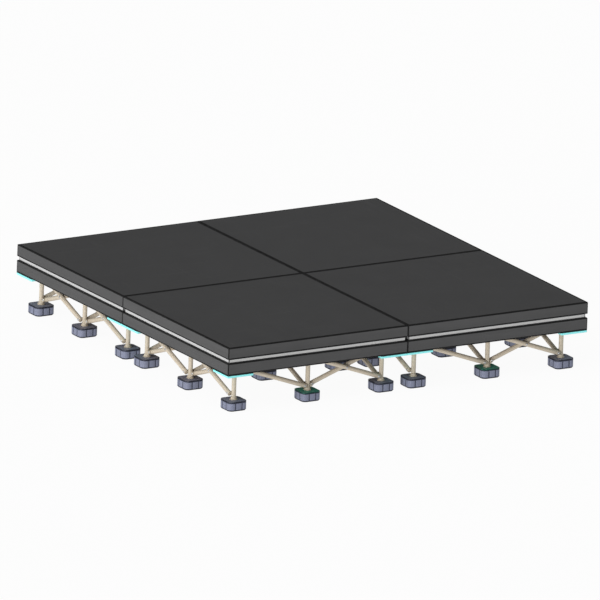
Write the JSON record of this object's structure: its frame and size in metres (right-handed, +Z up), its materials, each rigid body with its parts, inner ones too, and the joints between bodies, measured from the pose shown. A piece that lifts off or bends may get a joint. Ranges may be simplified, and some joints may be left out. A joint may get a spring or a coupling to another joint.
{
  "type": "portable stage",
  "caption": "Square portable stage of four lift-off decks on folding lattice risers with padded feet, crossed braces and bright edge recess.",
  "frame": {"origin": "middle of the stage on the floor", "axes": "+Z up, +X along the edge that runs right in the picture, +Y along the edge that runs up and left in the picture"},
  "size_m": [2.4384, 2.4384, 0.406],
  "materials": {
    "foot_plastic": "matte",
    "cap_plate": "matte",
    "tan_metal": "satin",
    "rivet_steel": "satin",
    "deck_panel": "matte",
    "edge_rail": "matte",
    "corner_plastic": "satin"
  },
  "bodies": {
    "root": {"leg_b2": "foot_plastic", "standing_posts": "tan_metal", "standing_knuckles": "tan_metal", "standing_feet": "foot_plastic", "standing_foot_caps": "cap_plate", "standing_top_hubs": "tan_metal", "standing_braces": "tan_metal", "standing_rivets": "rivet_steel"},
    "brace_b2_left": {"brace_b2_left": "tan_metal"},
    "brace_a2_right": {"brace_a2_right": "tan_metal"},
    "leg_a2": {"leg_a2": "foot_plastic"},
    "top_hub_a2": {"top_hub_a2": "tan_metal"},
    "top_hub_b2": {"top_hub_b2": "tan_metal"},
    "brace_b2_right": {"brace_b2_right": "tan_metal"},
    "brace_c2_left": {"brace_c2_left": "tan_metal"},
    "leg_c2": {"leg_c2": "foot_plastic"},
    "top_hub_c2": {"top_hub_c2": "tan_metal"},
    "brace_b2_front": {"brace_b2_front": "tan_metal"},
    "brace_b1_back": {"brace_b1_back": "tan_metal"},
    "leg_b1": {"leg_b1": "foot_plastic"},
    "top_hub_b1": {"top_hub_b1": "tan_metal"},
    "brace_b2_back": {"brace_b2_back": "tan_metal"},
    "brace_b3_front": {"brace_b3_front": "tan_metal"},
    "leg_b3": {"leg_b3": "foot_plastic"},
    "top_hub_b3": {"top_hub_b3": "tan_metal"},
    "brace_a2_front": {"brace_a2_front": "tan_metal"},
    "brace_a1_back": {"brace_a1_back": "tan_metal"},
    "leg_a1": {"leg_a1": "foot_plastic"},
    "top_hub_a1": {"top_hub_a1": "tan_metal"},
    "brace_a2_back": {"brace_a2_back": "tan_metal"},
    "brace_a3_front": {"brace_a3_front": "tan_metal"},
    "leg_a3": {"leg_a3": "foot_plastic"},
    "top_hub_a3": {"top_hub_a3": "tan_metal"},
    "brace_c2_front": {"brace_c2_front": "tan_metal"},
    "brace_c1_back": {"brace_c1_back": "tan_metal"},
    "leg_c1": {"leg_c1": "foot_plastic"},
    "top_hub_c1": {"top_hub_c1": "tan_metal"},
    "brace_c2_back": {"brace_c2_back": "tan_metal"},
    "brace_c3_front": {"brace_c3_front": "tan_metal"},
    "leg_c3": {"leg_c3": "foot_plastic"},
    "top_hub_c3": {"top_hub_c3": "tan_metal"},
    "brace_a3_right": {"brace_a3_right": "tan_metal"},
    "brace_b1_right": {"brace_b1_right": "tan_metal"},
    "brace_b1_left": {"brace_b1_left": "tan_metal"},
    "brace_b3_right": {"brace_b3_right": "tan_metal"},
    "brace_b3_left": {"brace_b3_left": "tan_metal"},
    "brace_c1_left": {"brace_c1_left": "tan_metal"},
    "brace_c3_left": {"brace_c3_left": "tan_metal"},
    "deck_front_left": {"deck_front_left_panel": "deck_panel", "deck_front_left_frame": "edge_rail", "deck_front_left_corners": "corner_plastic"},
    "deck_front_right": {"deck_front_right_panel": "deck_panel", "deck_front_right_frame": "edge_rail", "deck_front_right_corners": "corner_plastic"},
    "deck_back_left": {"deck_back_left_panel": "deck_panel", "deck_back_left_frame": "edge_rail", "deck_back_left_corners": "corner_plastic"},
    "deck_back_right": {"deck_back_right_panel": "deck_panel", "deck_back_right_frame": "edge_rail", "deck_back_right_corners": "corner_plastic"}
  },
  "joints": [
    {"name": "riser_fold", "type": "hinge", "parent": "root", "child": "brace_b2_left", "pos_m": [-0.63975, -0.60975, 0.09], "axis": [0, 1, 0], "range_deg": [0, 62]},
    {"name": "brace_a2_right_cross", "type": "hinge", "parent": "brace_b2_left", "child": "brace_a2_right", "pos_m": [-0.85975, -0.60975, 0.169], "axis": [0, 1, 0], "range_deg": [-125, 1]},
    {"name": "leg_a2_draw_in", "type": "hinge", "parent": "brace_a2_right", "child": "leg_a2", "pos_m": [-1.07975, -0.60975, 0.09], "axis": [0, 1, 0], "range_deg": [-1, 63]},
    {"name": "top_hub_a2_rise", "type": "hinge", "parent": "brace_b2_left", "child": "top_hub_a2", "pos_m": [-1.07975, -0.60975, 0.248], "axis": [0, 1, 0], "range_deg": [-63, 1]},
    {"name": "top_hub_b2_rise", "type": "hinge", "parent": "brace_a2_right", "child": "top_hub_b2", "pos_m": [-0.63975, -0.60975, 0.248], "axis": [0, 1, 0], "range_deg": [-1, 63]},
    {"name": "brace_b2_right_swing", "type": "hinge", "parent": "root", "child": "brace_b2_right", "pos_m": [-0.57975, -0.60975, 0.09], "axis": [0, -1, 0], "range_deg": [-1, 63]},
    {"name": "brace_c2_left_cross", "type": "hinge", "parent": "brace_b2_right", "child": "brace_c2_left", "pos_m": [-0.35975, -0.60975, 0.169], "axis": [0, -1, 0], "range_deg": [-125, 1]},
    {"name": "leg_c2_draw_in", "type": "hinge", "parent": "brace_c2_left", "child": "leg_c2", "pos_m": [-0.13975, -0.60975, 0.09], "axis": [0, -1, 0], "range_deg": [-1, 63]},
    {"name": "top_hub_c2_rise", "type": "hinge", "parent": "brace_b2_right", "child": "top_hub_c2", "pos_m": [-0.13975, -0.60975, 0.248], "axis": [0, -1, 0], "range_deg": [-63, 1]},
    {"name": "brace_b2_front_swing", "type": "hinge", "parent": "root", "child": "brace_b2_front", "pos_m": [-0.60975, -0.63975, 0.09], "axis": [-1, 0, 0], "range_deg": [-1, 63]},
    {"name": "brace_b1_back_cross", "type": "hinge", "parent": "brace_b2_front", "child": "brace_b1_back", "pos_m": [-0.60975, -0.85975, 0.169], "axis": [-1, 0, 0], "range_deg": [-125, 1]},
    {"name": "leg_b1_draw_in", "type": "hinge", "parent": "brace_b1_back", "child": "leg_b1", "pos_m": [-0.60975, -1.07975, 0.09], "axis": [-1, 0, 0], "range_deg": [-1, 63]},
    {"name": "top_hub_b1_rise", "type": "hinge", "parent": "brace_b2_front", "child": "top_hub_b1", "pos_m": [-0.60975, -1.07975, 0.248], "axis": [-1, 0, 0], "range_deg": [-63, 1]},
    {"name": "brace_b2_back_swing", "type": "hinge", "parent": "root", "child": "brace_b2_back", "pos_m": [-0.60975, -0.57975, 0.09], "axis": [1, 0, 0], "range_deg": [-1, 63]},
    {"name": "brace_b3_front_cross", "type": "hinge", "parent": "brace_b2_back", "child": "brace_b3_front", "pos_m": [-0.60975, -0.35975, 0.169], "axis": [1, 0, 0], "range_deg": [-125, 1]},
    {"name": "leg_b3_draw_in", "type": "hinge", "parent": "brace_b3_front", "child": "leg_b3", "pos_m": [-0.60975, -0.13975, 0.09], "axis": [1, 0, 0], "range_deg": [-1, 63]},
    {"name": "top_hub_b3_rise", "type": "hinge", "parent": "brace_b2_back", "child": "top_hub_b3", "pos_m": [-0.60975, -0.13975, 0.248], "axis": [1, 0, 0], "range_deg": [-63, 1]},
    {"name": "brace_a2_front_swing", "type": "hinge", "parent": "leg_a2", "child": "brace_a2_front", "pos_m": [-1.10975, -0.63975, 0.09], "axis": [-1, 0, 0], "range_deg": [-1, 63]},
    {"name": "brace_a1_back_cross", "type": "hinge", "parent": "brace_a2_front", "child": "brace_a1_back", "pos_m": [-1.10975, -0.85975, 0.169], "axis": [-1, 0, 0], "range_deg": [-125, 1]},
    {"name": "leg_a1_draw_in", "type": "hinge", "parent": "brace_a1_back", "child": "leg_a1", "pos_m": [-1.10975, -1.07975, 0.09], "axis": [-1, 0, 0], "range_deg": [-1, 63]},
    {"name": "top_hub_a1_rise", "type": "hinge", "parent": "brace_a2_front", "child": "top_hub_a1", "pos_m": [-1.10975, -1.07975, 0.248], "axis": [-1, 0, 0], "range_deg": [-63, 1]},
    {"name": "brace_a2_back_swing", "type": "hinge", "parent": "leg_a2", "child": "brace_a2_back", "pos_m": [-1.10975, -0.57975, 0.09], "axis": [1, 0, 0], "range_deg": [-1, 63]},
    {"name": "brace_a3_front_cross", "type": "hinge", "parent": "brace_a2_back", "child": "brace_a3_front", "pos_m": [-1.10975, -0.35975, 0.169], "axis": [1, 0, 0], "range_deg": [-125, 1]},
    {"name": "leg_a3_draw_in", "type": "hinge", "parent": "brace_a3_front", "child": "leg_a3", "pos_m": [-1.10975, -0.13975, 0.09], "axis": [1, 0, 0], "range_deg": [-1, 63]},
    {"name": "top_hub_a3_rise", "type": "hinge", "parent": "brace_a2_back", "child": "top_hub_a3", "pos_m": [-1.10975, -0.13975, 0.248], "axis": [1, 0, 0], "range_deg": [-63, 1]},
    {"name": "brace_c2_front_swing", "type": "hinge", "parent": "leg_c2", "child": "brace_c2_front", "pos_m": [-0.10975, -0.63975, 0.09], "axis": [-1, 0, 0], "range_deg": [-1, 63]},
    {"name": "brace_c1_back_cross", "type": "hinge", "parent": "brace_c2_front", "child": "brace_c1_back", "pos_m": [-0.10975, -0.85975, 0.169], "axis": [-1, 0, 0], "range_deg": [-125, 1]},
    {"name": "leg_c1_draw_in", "type": "hinge", "parent": "brace_c1_back", "child": "leg_c1", "pos_m": [-0.10975, -1.07975, 0.09], "axis": [-1, 0, 0], "range_deg": [-1, 63]},
    {"name": "top_hub_c1_rise", "type": "hinge", "parent": "brace_c2_front", "child": "top_hub_c1", "pos_m": [-0.10975, -1.07975, 0.248], "axis": [-1, 0, 0], "range_deg": [-63, 1]},
    {"name": "brace_c2_back_swing", "type": "hinge", "parent": "leg_c2", "child": "brace_c2_back", "pos_m": [-0.10975, -0.57975, 0.09], "axis": [1, 0, 0], "range_deg": [-1, 63]},
    {"name": "brace_c3_front_cross", "type": "hinge", "parent": "brace_c2_back", "child": "brace_c3_front", "pos_m": [-0.10975, -0.35975, 0.169], "axis": [1, 0, 0], "range_deg": [-125, 1]},
    {"name": "leg_c3_draw_in", "type": "hinge", "parent": "brace_c3_front", "child": "leg_c3", "pos_m": [-0.10975, -0.13975, 0.09], "axis": [1, 0, 0], "range_deg": [-1, 63]},
    {"name": "top_hub_c3_rise", "type": "hinge", "parent": "brace_c2_back", "child": "top_hub_c3", "pos_m": [-0.10975, -0.13975, 0.248], "axis": [1, 0, 0], "range_deg": [-63, 1]},
    {"name": "brace_a3_right_swing", "type": "hinge", "parent": "leg_a3", "child": "brace_a3_right", "pos_m": [-1.07975, -0.10975, 0.09], "axis": [0, -1, 0], "range_deg": [-1, 63]},
    {"name": "brace_b1_right_swing", "type": "hinge", "parent": "leg_b1", "child": "brace_b1_right", "pos_m": [-0.57975, -1.10975, 0.09], "axis": [0, -1, 0], "range_deg": [-1, 63]},
    {"name": "brace_b1_left_swing", "type": "hinge", "parent": "leg_b1", "child": "brace_b1_left", "pos_m": [-0.63975, -1.10975, 0.09], "axis": [0, 1, 0], "range_deg": [-1, 63]},
    {"name": "brace_b3_right_swing", "type": "hinge", "parent": "leg_b3", "child": "brace_b3_right", "pos_m": [-0.57975, -0.10975, 0.09], "axis": [0, -1, 0], "range_deg": [-1, 63]},
    {"name": "brace_b3_left_swing", "type": "hinge", "parent": "leg_b3", "child": "brace_b3_left", "pos_m": [-0.63975, -0.10975, 0.09], "axis": [0, 1, 0], "range_deg": [-1, 63]},
    {"name": "brace_c1_left_swing", "type": "hinge", "parent": "leg_c1", "child": "brace_c1_left", "pos_m": [-0.13975, -1.10975, 0.09], "axis": [0, 1, 0], "range_deg": [-1, 63]},
    {"name": "brace_c3_left_swing", "type": "hinge", "parent": "leg_c3", "child": "brace_c3_left", "pos_m": [-0.13975, -0.10975, 0.09], "axis": [0, 1, 0], "range_deg": [-1, 63]},
    {"name": "deck_front_left_lift", "type": "slide", "parent": "top_hub_b2", "child": "deck_front_left", "axis": [0, 0, 1], "range_m": [0, 0.3]},
    {"name": "deck_front_right_lift", "type": "slide", "parent": "root", "child": "deck_front_right", "axis": [0, 0, 1], "range_m": [0, 0.3]},
    {"name": "deck_back_left_lift", "type": "slide", "parent": "root", "child": "deck_back_left", "axis": [0, 0, 1], "range_m": [0, 0.3]},
    {"name": "deck_back_right_lift", "type": "slide", "parent": "root", "child": "deck_back_right", "axis": [0, 0, 1], "range_m": [0, 0.3]}
  ],
  "couplings": [
    {"joint": "brace_a2_right_cross", "follows": "riser_fold", "ratio": -2},
    {"joint": "leg_a2_draw_in", "follows": "riser_fold", "ratio": 1},
    {"joint": "top_hub_a2_rise", "follows": "riser_fold", "ratio": -1},
    {"joint": "top_hub_b2_rise", "follows": "riser_fold", "ratio": 1},
    {"joint": "brace_b2_right_swing", "follows": "riser_fold", "ratio": 1},
    {"joint": "brace_c2_left_cross", "follows": "riser_fold", "ratio": -2},
    {"joint": "leg_c2_draw_in", "follows": "riser_fold", "ratio": 1},
    {"joint": "top_hub_c2_rise", "follows": "riser_fold", "ratio": -1},
    {"joint": "brace_b2_front_swing", "follows": "riser_fold", "ratio": 1},
    {"joint": "brace_b1_back_cross", "follows": "riser_fold", "ratio": -2},
    {"joint": "leg_b1_draw_in", "follows": "riser_fold", "ratio": 1},
    {"joint": "top_hub_b1_rise", "follows": "riser_fold", "ratio": -1},
    {"joint": "brace_b2_back_swing", "follows": "riser_fold", "ratio": 1},
    {"joint": "brace_b3_front_cross", "follows": "riser_fold", "ratio": -2},
    {"joint": "leg_b3_draw_in", "follows": "riser_fold", "ratio": 1},
    {"joint": "top_hub_b3_rise", "follows": "riser_fold", "ratio": -1},
    {"joint": "brace_a2_front_swing", "follows": "riser_fold", "ratio": 1},
    {"joint": "brace_a1_back_cross", "follows": "riser_fold", "ratio": -2},
    {"joint": "leg_a1_draw_in", "follows": "riser_fold", "ratio": 1},
    {"joint": "top_hub_a1_rise", "follows": "riser_fold", "ratio": -1},
    {"joint": "brace_a2_back_swing", "follows": "riser_fold", "ratio": 1},
    {"joint": "brace_a3_front_cross", "follows": "riser_fold", "ratio": -2},
    {"joint": "leg_a3_draw_in", "follows": "riser_fold", "ratio": 1},
    {"joint": "top_hub_a3_rise", "follows": "riser_fold", "ratio": -1},
    {"joint": "brace_c2_front_swing", "follows": "riser_fold", "ratio": 1},
    {"joint": "brace_c1_back_cross", "follows": "riser_fold", "ratio": -2},
    {"joint": "leg_c1_draw_in", "follows": "riser_fold", "ratio": 1},
    {"joint": "top_hub_c1_rise", "follows": "riser_fold", "ratio": -1},
    {"joint": "brace_c2_back_swing", "follows": "riser_fold", "ratio": 1},
    {"joint": "brace_c3_front_cross", "follows": "riser_fold", "ratio": -2},
    {"joint": "leg_c3_draw_in", "follows": "riser_fold", "ratio": 1},
    {"joint": "top_hub_c3_rise", "follows": "riser_fold", "ratio": -1},
    {"joint": "brace_a3_right_swing", "follows": "riser_fold", "ratio": 1},
    {"joint": "brace_b1_right_swing", "follows": "riser_fold", "ratio": 1},
    {"joint": "brace_b1_left_swing", "follows": "riser_fold", "ratio": 1},
    {"joint": "brace_b3_right_swing", "follows": "riser_fold", "ratio": 1},
    {"joint": "brace_b3_left_swing", "follows": "riser_fold", "ratio": 1},
    {"joint": "brace_c1_left_swing", "follows": "riser_fold", "ratio": 1},
    {"joint": "brace_c3_left_swing", "follows": "riser_fold", "ratio": 1}
  ]
}
